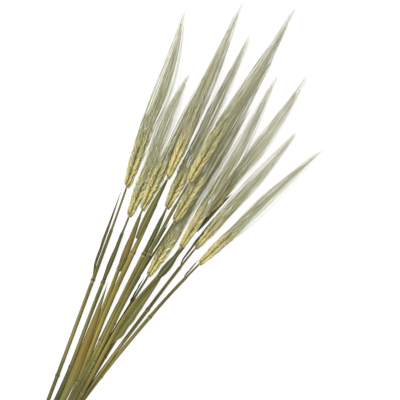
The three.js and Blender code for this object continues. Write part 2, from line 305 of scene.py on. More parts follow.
def grown(name, tree, line, sizes, node):
    """Grows one piece on a stalk's line, keeps it as a plain mesh, and lets it stand for its CAD node."""
    seed = bpy.data.meshes.new(name + "_line")
    seed.from_pydata(line, [(index, index + 1) for index in range(len(line) - 1)], [])
    piece = bpy.data.objects.new(name, seed)
    bpy.context.scene.collection.objects.link(piece)
    growth = piece.modifiers.new("growth", "NODES")
    growth.node_group = tree
    entries = {item.name: item.identifier for item in tree.interface.items_tree if item.in_out == "INPUT"}
    for size, value in sizes.items():
        growth[entries[size]] = value
    ready = bpy.context.evaluated_depsgraph_get()
    evaluated = piece.evaluated_get(ready)
    mesh = bpy.data.meshes.new_from_object(evaluated, preserve_all_data_layers=True, depsgraph=ready)
    piece.modifiers.clear()
    piece.data = mesh
    mesh.name = name
    bpy.data.meshes.remove(seed)
    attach(piece, "root")
    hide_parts(node)
    return piece


def new_finish(name, roughness, gloss):
    finish = bpy.data.materials.new(name)
    finish.use_nodes = True
    shader = finish.node_tree.nodes["Principled BSDF"]
    shader.inputs["Roughness"].default_value = roughness
    shader.inputs["Specular IOR Level"].default_value = gloss
    return finish, finish.node_tree, shader


def carried(tree, name):
    """A value that the mesh carries on its points, as a number."""
    return Amount(tree, place(tree, "ShaderNodeAttribute", attribute_name=name).outputs["Fac"])


def carried_vector(tree, name):
    return place(tree, "ShaderNodeAttribute", attribute_name=name).outputs["Vector"]


def mottle(tree, vector, scale, detail=2.0):
    """A soft uneven pattern from 0 to 1."""
    entries = {"Vector": vector, "Scale": scale, "Detail": detail}
    return Amount(tree, place(tree, "ShaderNodeTexNoise", entries).outputs[0])


def blended(tree, first, second, share):
    entries = {0: share, 6: first, 7: second}
    return place(tree, "ShaderNodeMix", entries, data_type="RGBA").outputs[2]


def shaded(tree, colour, amount):
    """A colour made darker or lighter by a number."""
    entries = {0: 1.0, 6: colour, 7: joined(tree, amount, amount, amount)}
    return place(tree, "ShaderNodeMix", entries, data_type="RGBA", blend_type="MULTIPLY").outputs[2]


def embossed(tree, shader, height, depth):
    entries = {"Height": height, "Distance": depth, "Strength": 1.0}
    feed(tree, shader.inputs["Normal"], place(tree, "ShaderNodeBump", entries).outputs[0])


STRAW_GREEN = (0.108, 0.110, 0.028)
STRAW_YELLOW = (0.285, 0.238, 0.050)
STRAW_BARE = (0.165, 0.157, 0.048)
SHEATH_BROWN = (0.260, 0.150, 0.032)
JOINT_DARK = (0.075, 0.045, 0.018)
JOINT_PALE = (0.420, 0.350, 0.150)
RIB_COUNT = 20
RIB_DEPTH = 0.1 * MM
STRAW_PATCH_SCALE = 42.0
STREAK_SCALE = 1500.0
BAND_SCALE = 420.0
STREAK_STRETCH = 0.03
PALE_RING_AT = -1.9 * MM
PALE_RING_WIDTH = 1.3 * MM
DARK_RING_AT = 0.3 * MM
DARK_RING_WIDTH = 1.1 * MM
FOOT_SHADE = 0.76
FOOT_SHADE_FROM = 20 * MM
FOOT_SHADE_TO = 150 * MM

straw_finish, tree, shader = new_finish("ribbed_straw", 0.55, 0.3)
straight = carried_vector(tree, "straight")
straw_x, straw_y, straw_z = split(tree, straight)
stretched = joined(tree, straw_x, straw_y * STREAK_STRETCH, straw_z)
patches = mottle(tree, straight, STRAW_PATCH_SCALE)
streaks = mottle(tree, stretched, STREAK_SCALE, 3.0)
bands = mottle(tree, stretched, BAND_SCALE, 2.0)
ribs = (straw_z.math("ARCTAN2", straw_x) * RIB_COUNT).math("SINE")
tone = carried(tree, "tone") + (patches - 0.5) * 0.7 + (bands - 0.5) * 1.6
colour = blended(tree, STRAW_GREEN, STRAW_YELLOW, tone.clamped())
colour = blended(tree, STRAW_BARE, colour, carried(tree, "sheathed"))
browned = carried(tree, "browned") * (patches * 1.6 + streaks * 0.5 - 0.25).clamped()
colour = blended(tree, colour, SHEATH_BROWN, browned.clamped())
joint_gap = carried(tree, "joint_gap")
joint_dark = carried(tree, "joint_dark")
pale_ring = joint_gap.hump(PALE_RING_AT, PALE_RING_WIDTH) * joint_dark * 0.7
dark_ring = joint_gap.hump(DARK_RING_AT, DARK_RING_WIDTH) * (streaks * 0.6 + 0.6) * joint_dark
colour = blended(tree, colour, JOINT_PALE, pale_ring.clamped())
colour = blended(tree, colour, JOINT_DARK, dark_ring.clamped())
foot_shade = straw_y.eased(FOOT_SHADE_FROM, FOOT_SHADE_TO) * (1.0 - FOOT_SHADE) + FOOT_SHADE
colour = shaded(tree, colour, (streaks * 1.1 + bands * 1.2 + ribs * 0.1 - 0.16) * foot_shade)
feed(tree, shader.inputs["Base Color"], colour)
embossed(tree, shader, ribs * 0.5 + streaks * 1.4, RIB_DEPTH)

straw_sizes = {"Length": float, "Girth": float, "Foot girth": float, "Lower joint": float,
               "Upper joint": float, "Lower dark": float, "Upper dark": float, "Sheath end": float,
               "Twist": float, "Tone": float, "Browned": float, "Browned at": float, "Seed": int}
straw_tree, stalk, size = growth_tree("straw_growth", straw_sizes)
tree = straw_tree
straw_end = joined(tree, 0.0, size["Length"], 0.0)
core = place(tree, "GeometryNodeCurvePrimitiveLine", {"End": straw_end}).outputs[0]
core = place(tree, "GeometryNodeResampleCurve", {"Curve": core, "Count": STRAW_RINGS}).outputs[0]
run = Amount(tree, tree.nodes.new("GeometryNodeSplineParameter").outputs["Length"])
above_sheath = run.eased(size["Sheath end"], size["Sheath end"] + SHEATH_STEP)
bare_share = ((run - size["Sheath end"]) / (size["Length"] - size["Sheath end"])).clamped()
bare = bare_share * (NECK_RADIUS - BARE_RADIUS) + BARE_RADIUS
stoutness = size["Foot girth"].towards(size["Girth"], run.eased(FOOT_END, FOOT_END * 2.0))
stoutness = stoutness.towards(1.0, run.eased(size["Sheath end"] - SHEATH_TAPER, size["Sheath end"]))
girth = (stoutness * STRAW_RADIUS).towards(bare, above_sheath)
lower_gap = run - size["Lower joint"]
upper_gap = run - size["Upper joint"]
swelling = lower_gap.hump(0.0, JOINT_REACH) + upper_gap.hump(0.0, JOINT_REACH)
girth = girth + swelling * (JOINT_RADIUS - STRAW_RADIUS)
uneven_entries = {"W": run + size["Seed"], "Scale": UNEVEN_SCALE}
uneven = Amount(tree, place(tree, "ShaderNodeTexNoise", uneven_entries, noise_dimensions="1D").outputs[0])
girth = girth * (uneven * UNEVEN_SHARE + (1.0 - UNEVEN_SHARE / 2))
ring = place(tree, "GeometryNodeCurvePrimitiveCircle", {"Resolution": STRAW_SIDES, "Radius": 1.0}).outputs[0]
tube_entries = {"Curve": core, "Profile Curve": ring, "Scale": girth, "Fill Caps": True}
tube = place(tree, "GeometryNodeCurveToMesh", tube_entries).outputs[0]
spot_x, spot_y, spot_z = split(tree, tree.nodes.new("GeometryNodeInputPosition").outputs[0])
corners = Amount(tree, tree.nodes.new("GeometryNodeInputMeshFaceNeighbors").outputs["Vertex Count"])
cut_face = corners.math("GREATER_THAN", QUAD_CORNERS + 0.5) * spot_y.math("LESS_THAN", MM)
rim_entries = {"Mesh": tube, "Selection": cut_face, "Offset Scale": 0.0}
rim = place(tree, "GeometryNodeExtrudeMesh", rim_entries)
mouth_entries = {"Geometry": rim.outputs["Mesh"], "Selection": rim.outputs["Top"], "Scale": BORE_SHARE}
mouth = place(tree, "GeometryNodeScaleElements", mouth_entries).outputs[0]
bore_entries = {"Mesh": mouth, "Selection": rim.outputs["Top"],
                "Offset": (0, 1, 0), "Offset Scale": BORE_DEPTH}
tube = place(tree, "GeometryNodeExtrudeMesh", bore_entries).outputs["Mesh"]
round_share = (spot_z.math("ARCTAN2", spot_x) / math.tau + spot_y * size["Twist"]) % 1.0
sheathed = 1.0 - spot_y.eased(size["Sheath end"], size["Sheath end"] + SHEATH_STEP)
wrap = round_share * sheathed * SHEATH_OVERLAP + 1.0
wrapped = joined(tree, spot_x * wrap, spot_y, spot_z * wrap)
tube = place(tree, "GeometryNodeSetPosition", {"Geometry": tube, "Position": wrapped}).outputs[0]
low_gap = spot_y - size["Lower joint"]
high_gap = spot_y - size["Upper joint"]
nearer_low = abs(low_gap).math("LESS_THAN", abs(high_gap))
tube = noted(tree, tube, "joint_gap", high_gap.towards(low_gap, nearer_low))
tube = noted(tree, tube, "joint_dark", size["Upper dark"].towards(size["Lower dark"], nearer_low))
tube = noted(tree, tube, "sheathed", sheathed)
tube = noted(tree, tube, "tone", size["Tone"])
tube = noted(tree, tube, "browned", size["Browned"] * spot_y.hump(size["Browned at"], BROWN_REACH))
tube = laid_along(tree, tube, stalk, 0.0)
end_tree(tree, with_finish(tree, tube, straw_finish))

for order, (name, straw) in enumerate(STRAWS.items()):
    line, neck, _ = lines[name]
    lower, upper = [joint * MM for joint in straw["joints"]]
    sheath_end = min(upper + SHEATH_LENGTH, neck - 4 * SHEATH_STEP)
    straw_values = {"Length": neck + MM, "Girth": straw["girth"], "Foot girth": straw["foot_girth"],
                    "Lower joint": lower, "Upper joint": upper, "Sheath end": sheath_end,
                    "Lower dark": straw["darkened"][0], "Upper dark": straw["darkened"][1],
                    "Twist": SHEATH_TWIST + TWIST_STEP * order, "Tone": straw["tone"],
                    "Browned": straw["browned"], "Browned at": straw["browned_at"] * MM, "Seed": order}
    grown("dry_straw_" + name, straw_tree, line, straw_values, "straw_" + name)

# Blades. The dry leaves still on the stalks: thin ribbed strips folded along the midrib, drawn out to a
# point, with papery edges and browned tips. Each hangs on by its base, which clasps the straw.
BLADE_THICKNESS = 0.35 * MM
BLADE_TIP_HALF = 0.18 * MM
BLADE_WIDEST = 0.3
BLADE_BASE = 0.6
BLADE_FOLD = 0.35
BLADE_UNROLL = 0.6
BLADE_CURVE = 1.5
BLADE_ROOM = 1.0 * MM
BLADE_ABOVE = 2.8 * MM
BLADE_ACROSS = 13
BLADE_RINGS = 48
BLADE_END_SHARPNESS = 30.0
BLADE_RIPPLE = 0.04 * MM
BLADE_SWING_OUT = 0.16
BLADE_FOLD_POWER = 1.3
BLADE_LOWEST = 0.1 * MM
MERGE_GAP = 1e-6
# Sizes in millimetres, roll in degrees. at: how far the base is from the cut. side: -1 left of the straw,
# 1 right of it and 0 on top. spread and lift: how far the tip strays out and up. aside: how far the whole
# blade is shifted. base: the base's share of the width. tone: 0 dark green, 1 olive. browned: 0 to 1.
BLADES = {
    "leaf_01": dict(stalk="01", at=186, length=104, width=3.6, side=-1,
                    spread=1.5, lift=1, roll=45, tone=0.3),
    "leaf_02": dict(stalk="02", at=192, length=64, width=5.4, side=0,
                    spread=1, lift=0.5, roll=0, tone=0.0),
    "leaf_03_low": dict(stalk="03", at=40, length=148, width=10, side=0,
                        spread=-3.5, lift=1, roll=8, tone=1.0, aside=-2.2, browned=0.8),
    "leaf_03_high": dict(stalk="03", at=204, length=66, width=7.6, side=0,
                         spread=0.5, lift=0.5, roll=0, tone=0.5, aside=1.2, browned=0.6),
    "leaf_04": dict(stalk="04", at=252, length=72, width=8, side=0,
                    spread=1, lift=0.5, roll=0, tone=0.6, aside=-2.2),
    "leaf_05": dict(stalk="05", at=238, length=52, width=5.4, side=0,
                    spread=0.5, lift=0.5, roll=0, tone=0.1, aside=0.6),
    "leaf_06": dict(stalk="06", at=240, length=46, width=3.6, side=-1,
                    spread=1, lift=4, roll=60, tone=0.3),
    "leaf_08": dict(stalk="08", at=180, length=36, width=3, side=-1,
                    spread=1.2, lift=3, roll=70, tone=0.2, aside=1),
    "leaf_09_low": dict(stalk="09", at=136, length=96, width=9.6, side=1,
                        spread=2, lift=3, roll=15, tone=0.5, aside=-1.4),
    "leaf_09_high": dict(stalk="09", at=228, length=38, width=8.4, side=0,
                         spread=0.5, lift=0.5, roll=0, tone=0.0, aside=1),
    "leaf_10": dict(stalk="10", at=284, length=58, width=5.4, side=0,
                    spread=6.5, lift=-1.5, roll=-35, tone=0.1, aside=2, base=0.12),
    "leaf_11": dict(stalk="11", at=244, length=68, width=3, side=-1,
                    spread=4, lift=5, roll=45, tone=0.0, aside=0.4, base=0.3),
    "leaf_12": dict(stalk="12", at=234, length=28, width=2.6, side=-1,
                    spread=2, lift=2, roll=60, tone=0.1, aside=0.8),
}
BLADE_DARK = (0.080, 0.082, 0.023)
BLADE_OLIVE = (0.190, 0.175, 0.044)
BLADE_EDGE = (0.330, 0.300, 0.130)
BLADE_BROWN = (0.200, 0.135, 0.050)
VEIN_COUNT = 9
VEIN_DEPTH = 0.07 * MM
BLADE_PATCH_SCALE = 70.0
FIBRE_SCALE = 26.0
BLADE_LINE_SCALE = 2.6
BROWN_MIDDLE = 0.5
BROWN_SPREAD = 0.2
TIP_BROWN_FROM = 0.78
TIP_BROWN_TO = 1.15
TIP_BROWN_SHARE = 0.8

blade_finish, tree, shader = new_finish("veined_blade", 0.6, 0.2)
straight = carried_vector(tree, "straight")
blade_y = split(tree, straight)[1]
blade_across = carried(tree, "blade_across")
blade_run = carried(tree, "blade_run")
patches = mottle(tree, straight, BLADE_PATCH_SCALE, 3.0)
fibre_spot = joined(tree, blade_across * 0.5, blade_y * 1.5, carried(tree, "tone"))
fibre = mottle(tree, fibre_spot, FIBRE_SCALE, 3.0)
line_spot = joined(tree, blade_across * 3.0, blade_run * 1.2, carried(tree, "tone"))
lines_along = mottle(tree, line_spot, BLADE_LINE_SCALE, 3.0)
veins = (blade_across * (VEIN_COUNT * math.pi)).math("COSINE")
tone = carried(tree, "tone") + (patches - 0.5) * 0.6 + (lines_along - 0.5) * 1.2
colour = blended(tree, BLADE_DARK, BLADE_OLIVE, tone.clamped())
edge = abs(blade_across).eased(0.78, 1.0) * 0.45
midrib = blade_across.hump(0.0, 0.12) * 0.6
colour = blended(tree, colour, BLADE_EDGE, (edge + midrib).clamped())
tip_brown = (blade_run + (patches - 0.5) * 0.5).eased(TIP_BROWN_FROM, TIP_BROWN_TO) * TIP_BROWN_SHARE
middle_brown = carried(tree, "browned") * blade_run.hump(BROWN_MIDDLE, BROWN_SPREAD)
middle_brown = middle_brown * (patches + lines_along * 0.8).clamped()
colour = blended(tree, colour, SHEATH_BROWN, middle_brown.clamped())
colour = blended(tree, colour, BLADE_BROWN, tip_brown)
colour = shaded(tree, colour, fibre * 0.5 + lines_along * 0.7 + veins * 0.09 + 0.36)
feed(tree, shader.inputs["Base Color"], colour)
embossed(tree, shader, veins * 0.6 + fibre, VEIN_DEPTH)

blade_sizes = {"At": float, "Length": float, "Width": float, "Side": float, "Beside": float, "Above": float,
               "Aside": float, "Base": float, "Fold": float, "Spread": float, "Lift": float, "Roll": float,
               "Tone": float, "Browned": float, "Seed": int}
blade_tree, stalk, size = growth_tree("blade_growth", blade_sizes)
tree = blade_tree


def blade_face(tree, size, face):
    """One face of the blade, upper for 1 and lower for -1. The two meet along the edges."""
    grid_entries = {"Size X": 2.0, "Size Y": 1.0, "Vertices X": BLADE_ACROSS, "Vertices Y": BLADE_RINGS}
    grid = place(tree, "GeometryNodeMeshGrid", grid_entries).outputs[0]
    if face < 0:
        grid = place(tree, "GeometryNodeFlipFaces", {"Mesh": grid}).outputs[0]
    across, run, _ = split(tree, tree.nodes.new("GeometryNodeInputPosition").outputs[0])
    run = run + 0.5
    grid = noted(tree, grid, "blade_across", across)
    grid = noted(tree, grid, "blade_run", run)
    rise = ((run / BLADE_WIDEST).clamped() * (math.pi / 2)).math("SINE") * (1.0 - size["Base"])
    fall = (((run - BLADE_WIDEST) / (1.0 - BLADE_WIDEST)).clamped() * (math.pi / 2)).math("COSINE")
    swell = (rise + size["Base"]) * fall
    half = (size["Width"] * swell * 0.5).math("MAXIMUM", BLADE_TIP_HALF)
    wave_entries = {"W": run * 2.2 + size["Seed"] * 7.3, "Scale": 1.6, "Detail": 1.0}
    wave = place(tree, "ShaderNodeTexNoise", wave_entries, noise_dimensions="1D").outputs[0]
    wave = Amount(tree, wave) - 0.5
    turn = size["Roll"] * size["Side"] * (1.0 - run * BLADE_UNROLL) + wave * (size["Beside"] * 0.7 + 0.2)
    ends = (run * BLADE_END_SHARPNESS).math("MINIMUM", (1.0 - run) * BLADE_END_SHARPNESS).clamped()
    body = (1.0 - across * across) * ends * (BLADE_THICKNESS * 0.5 * face)
    ripple = (across * (VEIN_COUNT * math.pi)).math("COSINE") * ends * BLADE_RIPPLE
    flat = across * half
    height = abs(across) ** BLADE_FOLD_POWER * half * size["Fold"] + body + ripple
    clear = half * abs(turn.math("COSINE")) + (STRAW_RADIUS + BLADE_ROOM)
    clear = (half * 0.35 + STRAW_RADIUS * 0.55).towards(clear, run.eased(0.0, BLADE_SWING_OUT))
    aside = (clear * size["Beside"] + size["Spread"] * run * run) * size["Side"] + size["Aside"]
    above = size["Lift"] * run ** BLADE_CURVE + size["Above"]
    blade_x = aside + flat * turn.math("COSINE") - height * turn.math("SINE")
    blade_z = above + flat * turn.math("SINE") + height * turn.math("COSINE")
    spot = joined(tree, blade_x, size["At"] + run * size["Length"], blade_z)
    return place(tree, "GeometryNodeSetPosition", {"Geometry": grid, "Position": spot}).outputs[0]


both = tree.nodes.new("GeometryNodeJoinGeometry")
for face in (1.0, -1.0):
    tree.links.new(blade_face(tree, size, face), both.inputs[0])
merge_entries = {"Geometry": both.outputs[0], "Distance": MERGE_GAP}
closed = place(tree, "GeometryNodeMergeByDistance", merge_entries).outputs[0]
closed = noted(tree, closed, "tone", size["Tone"])
closed = noted(tree, closed, "browned", size["Browned"])
closed = laid_along(tree, closed, stalk, BLADE_LOWEST)
end_tree(tree, with_finish(tree, closed, blade_finish))

for order, (name, blade) in enumerate(BLADES.items()):
    line = lines[blade["stalk"]][0]
    lengths = {key.capitalize(): blade[key] * MM for key in ("at", "length", "width", "spread", "lift")}
    beside = blade["side"] != 0
    blade_values = {**lengths, "Side": blade["side"] if beside else 1.0, "Beside": float(beside),
                    "Above": 0.0 if beside else BLADE_ABOVE, "Aside": blade.get("aside", 0.0) * MM,
                    "Base": blade.get("base", BLADE_BASE),
                    "Fold": BLADE_FOLD if beside else -BLADE_FOLD, "Roll": math.radians(blade["roll"]),
                    "Tone": float(blade["tone"]), "Browned": blade.get("browned", 0.0), "Seed": order}
    grown("dry_" + name, blade_tree, line, blade_values, name)

# Ears. A jointed axis carries grains in threes on alternate sides, which makes six rows. Each grain is closed
# in a husk with two slim bracts at its foot. The husk's tip runs out to a long bristle, the awn, and the awns
# close in with one another to a narrow brush.
GRAIN_STEP = 1.85 * MM
GRAIN_LENGTH = 10.5 * MM
GRAIN_HALF_WIDTH = 1.15 * MM
GRAIN_HALF_DEPTH = 1.05 * MM
GRAIN_ROOT = 1.7 * MM
GRAIN_LEAN = math.radians(23)
LEAN_ANGLE = math.radians(24)
GRAIN_RINGS = 7
GRAIN_SIDES = 8
ROW_ANGLE = math.radians(74)
ROW_LAG = 1.2 * MM
FIRST_STEP = 0.5 * MM
EAR_END_SCALE = 0.66
AXIS_RADIUS = 1.7 * MM
AWN_POINTS = 18
AWN_RADIUS = 0.38 * MM
AWN_TIP_RADIUS = 0.11 * MM
BRUSH_FOOT_RADIUS = 5.8 * MM
BRUSH_WIDEST = 0.3
BRUSH_END_RADIUS = 2.2 * MM
AWN_EXTRA = 22 * MM
SHORTEST_AWN = 0.87
LONGEST_AWN = 1.03
AWN_FREED = 42 * MM
AWN_WAVER = 2.4 * MM
STRAY_FROM = 0.95
STRAY_OUT = 0.55
AWN_SEAT = GRAIN_LENGTH * 0.93
AXIS_BELOW = 1.5 * MM
AXIS_SHORT = 6 * MM
AXIS_RINGS = 48
COLLAR_AT = 1.8 * MM
COLLAR_WIDTH = 1.2 * MM
COLLAR_HEIGHT = 0.25 * MM
EAR_LOWEST = 0.15 * MM
# length: of the grains alone, in millimetres. stout: how thick the ear is for its length. brush: how far the
# awns spread where they are widest. gold: 0 green, 1 golden. spin: the turn about the stalk, in degrees.
# sway: how far the brush bows to the right half way along. The last is painted light: how much lighter or
# darker each ear's husks are painted, most of all ear 08, lightened where the stalks above it shade it.
EARS = {
    "01": dict(length=67, stout=1.3, brush=9.6, gold=0.35, spin=14, sway=4.5, painted_light=1),
    "02": dict(length=64, stout=1.15, brush=7.4, gold=0.3, spin=-14, sway=-2.5, painted_light=1),
    "03": dict(length=62, stout=1.25, brush=6.6, gold=0.45, spin=16, sway=0, painted_light=1),
    "04": dict(length=66, stout=1.0, brush=7.6, gold=0.8, spin=4, sway=0, painted_light=0.95),
    "05": dict(length=56, stout=1.25, brush=7, gold=0.25, spin=-8, sway=0.5, painted_light=1.05),
    "06": dict(length=63, stout=1.2, brush=6.8, gold=0.4, spin=12, sway=0, painted_light=1),
    "07": dict(length=78, stout=1.2, brush=8.2, gold=0.45, spin=-6, sway=2.5, painted_light=1),
    "08": dict(length=63, stout=1.2, brush=6.8, gold=0.4, spin=6, sway=0, painted_light=1.35),
    "09": dict(length=57, stout=1.05, brush=8, gold=0.4, spin=-14, sway=2.5, painted_light=0.95),
    "10": dict(length=55, stout=1.0, brush=8, gold=0.45, spin=24, sway=2, painted_light=1),
    "11": dict(length=52, stout=1.0, brush=7, gold=0.35, spin=10, sway=1.5, painted_light=1),
    "12": dict(length=55, stout=1.0, brush=6.8, gold=0.45, spin=-12, sway=-1.5, painted_light=1),
}
HUSK_TIP_HIGHLIGHT = (0.680, 0.640, 0.350)
HUSK_GOLD = (0.670, 0.525, 0.195)
HUSK_GREEN = (0.500, 0.475, 0.190)
HUSK_GAP_SHADE = (0.230, 0.200, 0.075)
AXIS_TAN = (0.350, 0.280, 0.125)
AXIS_DARK = (0.300, 0.270, 0.100)
AWN_GREEN = (0.540, 0.530, 0.280)
AWN_PALE = (0.660, 0.650, 0.500)

husk_finish, tree, shader = new_finish("grain_husk", 0.55, 0.35)
grain_x, grain_y, grain_run = split(tree, carried_vector(tree, "grain_spot"))
tint = carried(tree, "tint")
fleck = mottle(tree, carried_vector(tree, "straight"), 500.0, 2.0)
nerves = (grain_y.math("ARCTAN2", grain_x) * 5.0).math("COSINE")
gold = (carried(tree, "gold") + (tint - 0.5) * 0.6).clamped()
colour = blended(tree, HUSK_GREEN, HUSK_GOLD, gold)
# Painted highlight: each grain is blended paler towards its tip.
colour = blended(tree, colour, HUSK_TIP_HIGHLIGHT, grain_run.eased(0.45, 0.9) * 0.7)
# Painted shade: the foot of each grain, down in the gaps between the grains, is blended dark olive brown.
colour = blended(tree, HUSK_GAP_SHADE, colour, grain_run.eased(0.02, 0.38))
# Painted light: each ear's husk colour is scaled lighter or darker by its own number, in place of the light
# it gets.
colour = shaded(tree, colour, (fleck * 0.5 + nerves * 0.07 + tint * 0.3 + 0.6) * carried(tree, "painted_light"))
feed(tree, shader.inputs["Base Color"], colour)
embossed(tree, shader, nerves * 0.5 + fleck, 0.1 * MM)

axis_finish, tree, shader = new_finish("ear_axis", 0.6, 0.3)
axis_run = carried(tree, "axis_run")
fleck = mottle(tree, carried_vector(tree, "straight"), 700.0, 2.0)
colour = blended(tree, AXIS_TAN, AXIS_DARK, axis_run.eased(0.02, 0.14))
colour = shaded(tree, colour, fleck * 0.6 + 0.7)
feed(tree, shader.inputs["Base Color"], colour)
embossed(tree, shader, fleck, 0.1 * MM)

awn_finish, tree, shader = new_finish("awn_bristle", 0.45, 0.4)
awn_run = carried(tree, "awn_run")
tint = carried(tree, "tint")
rasp = mottle(tree, carried_vector(tree, "straight"), 1200.0, 1.0)
colour = blended(tree, AWN_GREEN, AWN_PALE, (awn_run * 0.9 + (tint - 0.5) * 0.7).clamped())
colour = shaded(tree, colour, rasp * 0.3 + tint * 0.3 + 0.7)
feed(tree, shader.inputs["Base Color"], colour)
embossed(tree, shader, rasp, 0.05 * MM)

ear_sizes = {"Neck": float, "Ear length": float, "Reach": float, "Stout": float, "Brush": float,
             "Sway": float, "Grains": int, "Spin": float, "Gold": float, "Painted light": float, "Seed": int}
ear_tree, stalk, size = growth_tree("ear_growth", ear_sizes)
tree = ear_tree


def drawn(tree, size, low, high, owner, lot):
    """A random amount for each grain, the same on every run."""
    entries = {2: low, 3: high, "ID": owner, "Seed": size["Seed"] * 10.0 + float(lot)}
    return Amount(tree, place(tree, "FunctionNodeRandomValue", entries, data_type="FLOAT").outputs[1])


def grain_place(tree, size, grain):
    """How far up the ear a grain is rooted, which way it faces, and how large it is."""
    step = (grain / 3.0).math("FLOOR")
    row = grain % 3.0 - 1.0
    at = step * GRAIN_STEP + abs(row) * ROW_LAG + FIRST_STEP
    at = at + drawn(tree, size, -0.5 * MM, 0.5 * MM, grain, 1)
    side = (step % 2.0) * math.pi + size["Spin"] + drawn(tree, size, -0.09, 0.09, grain, 2)
    turn = side + row * ROW_ANGLE
    lean_turn = side + row * LEAN_ANGLE
    up = ((at + 4.0 * MM) / (size["Ear length"] + 4.0 * MM)).clamped()
    swell = (up * math.pi).math("SINE").math("MAXIMUM", 0.0) ** 0.5
    grow = (swell * (1.0 - EAR_END_SCALE) + EAR_END_SCALE) * drawn(tree, size, 0.93, 1.06, grain, 3)
    lean = drawn(tree, size, GRAIN_LEAN * 0.75, GRAIN_LEAN * 1.25, grain, 4) * size["Stout"]
    lean = lean * (at.eased(-6.0 * MM, 24.0 * MM) * 0.5 + 0.5) * (1.0 - up.eased(0.7, 1.0) * 0.35)
    return at, turn, lean_turn, grow, lean


grain = Amount(tree, tree.nodes.new("GeometryNodeInputIndex").outputs[0])
at, turn, lean_turn, grow, lean = grain_place(tree, size, grain)
out_x, out_z = turn.math("COSINE"), turn.math("SINE")
lean_x, lean_z = lean_turn.math("COSINE"), lean_turn.math("SINE")
root_out = size["Stout"] * GRAIN_ROOT
root = joined(tree, out_x * root_out, size["Neck"] + at, out_z * root_out)
roots = place(tree, "GeometryNodePoints", {"Count": size["Grains"], "Position": root}).outputs[0]
roots = noted(tree, roots, "tint", drawn(tree, size, 0.0, 1.0, grain, 5))
lean_out = lean.math("SINE")
forward = joined(tree, lean_x * lean_out, lean.math("COSINE"), lean_z * lean_out)
facing = place(tree, "FunctionNodeAxesToRotation", {0: forward, 1: joined(tree, out_x, 0.0, out_z)},
               primary_axis="Z", secondary_axis="X").outputs[0]

spine = place(tree, "GeometryNodeCurvePrimitiveLine", {"End": (0, 0, 1)}).outputs[0]
spine = place(tree, "GeometryNodeResampleCurve", {"Curve": spine, "Count": GRAIN_RINGS}).outputs[0]
share = Amount(tree, tree.nodes.new("GeometryNodeSplineParameter").outputs["Factor"])
plump = ((share ** 0.8) * math.pi).math("SINE").math("MAXIMUM", 0.0) ** 0.7 + (1.0 - share) * 0.22 + 0.14
ring = place(tree, "GeometryNodeCurvePrimitiveCircle", {"Resolution": GRAIN_SIDES, "Radius": 0.88}).outputs[0]
husk_entries = {"Curve": spine, "Profile Curve": ring, "Scale": plump, "Fill Caps": True}
husk = place(tree, "GeometryNodeCurveToMesh", husk_entries).outputs[0]
spikelet = tree.nodes.new("GeometryNodeJoinGeometry")
tree.links.new(husk, spikelet.inputs[0])
for side in (1.0, -1.0):
    bract_entries = {"Start": (0.55, side * 0.35, 0.0), "End": (1.25, side * 0.75, 0.72)}
    bract = place(tree, "GeometryNodeCurvePrimitiveLine", bract_entries).outputs[0]
    bract = place(tree, "GeometryNodeResampleCurve", {"Curve": bract, "Count": 4}).outputs[0]
    ring = place(tree, "GeometryNodeCurvePrimitiveCircle", {"Resolution": 3, "Radius": 0.2}).outputs[0]
    bract_entries = {"Curve": bract, "Profile Curve": ring, "Scale": 1.06 - share, "Fill Caps": True}
    tree.links.new(place(tree, "GeometryNodeCurveToMesh", bract_entries).outputs[0], spikelet.inputs[0])
spot = tree.nodes.new("GeometryNodeInputPosition").outputs[0]
spikelet = noted(tree, spikelet.outputs[0], "grain_spot", spot, "FLOAT_VECTOR")
spikelet = with_finish(tree, spikelet, husk_finish)
grain_scale = joined(tree, grow * GRAIN_HALF_DEPTH, grow * GRAIN_HALF_WIDTH, grow * GRAIN_LENGTH)
grain_entries = {"Points": roots, "Instance": spikelet, "Rotation": facing, "Scale": grain_scale}
grains = place(tree, "GeometryNodeInstanceOnPoints", grain_entries).outputs[0]
grains = place(tree, "GeometryNodeRealizeInstances", {"Geometry": grains}).outputs[0]
grains = noted(tree, grains, "gold", size["Gold"])
grains = noted(tree, grains, "painted_light", size["Painted light"])

point = Amount(tree, tree.nodes.new("GeometryNodeInputIndex").outputs[0])
awn = (point / float(AWN_POINTS)).math("FLOOR")
awn_run = (point % float(AWN_POINTS)) / (AWN_POINTS - 1.0)
at, turn, lean_turn, grow, lean = grain_place(tree, size, awn)
tip_out = lean.math("SINE") * grow * AWN_SEAT
start = at + lean.math("COSINE") * grow * AWN_SEAT
start_x = turn.math("COSINE") * root_out + lean_turn.math("COSINE") * tip_out
start_z = turn.math("SINE") * root_out + lean_turn.math("SINE") * tip_out
ear_reach = size["Reach"] - size["Neck"]
brush = ear_reach - size["Ear length"]
longest = (brush + AWN_EXTRA).math("MINIMUM", ear_reach - at)
end = at + longest * drawn(tree, size, SHORTEST_AWN, LONGEST_AWN, awn, 6)
up = start + (end - start) * awn_run
beyond = ((up - size["Ear length"]) / brush).clamped()
opened = (up / (size["Ear length"] + brush * BRUSH_WIDEST)).clamped()
opening = (size["Brush"] - BRUSH_FOOT_RADIUS) * opened + BRUSH_FOOT_RADIUS
envelope = opening.towards(BRUSH_END_RADIUS, beyond.eased(BRUSH_WIDEST, 1.05))
stray = drawn(tree, size, 0.0, 1.0, awn, 7)
keeps_out = (drawn(tree, size, 0.04, 1.0, awn, 8) ** 0.6) * 1.1
keeps_out = keeps_out + stray.math("GREATER_THAN", STRAY_FROM) * STRAY_OUT
freed = (up - start).eased(0.0, AWN_FREED)
out = envelope * keeps_out
turn = turn + drawn(tree, size, -0.6, 0.6, awn, 9)
waver_entries = {"Vector": joined(tree, up * 9.0, awn * 3.1 + size["Seed"] * 17.0, 0.0), "Scale": 2.0}
waver = split(tree, place(tree, "ShaderNodeTexNoise", waver_entries).outputs[1])
sway = freed * AWN_WAVER
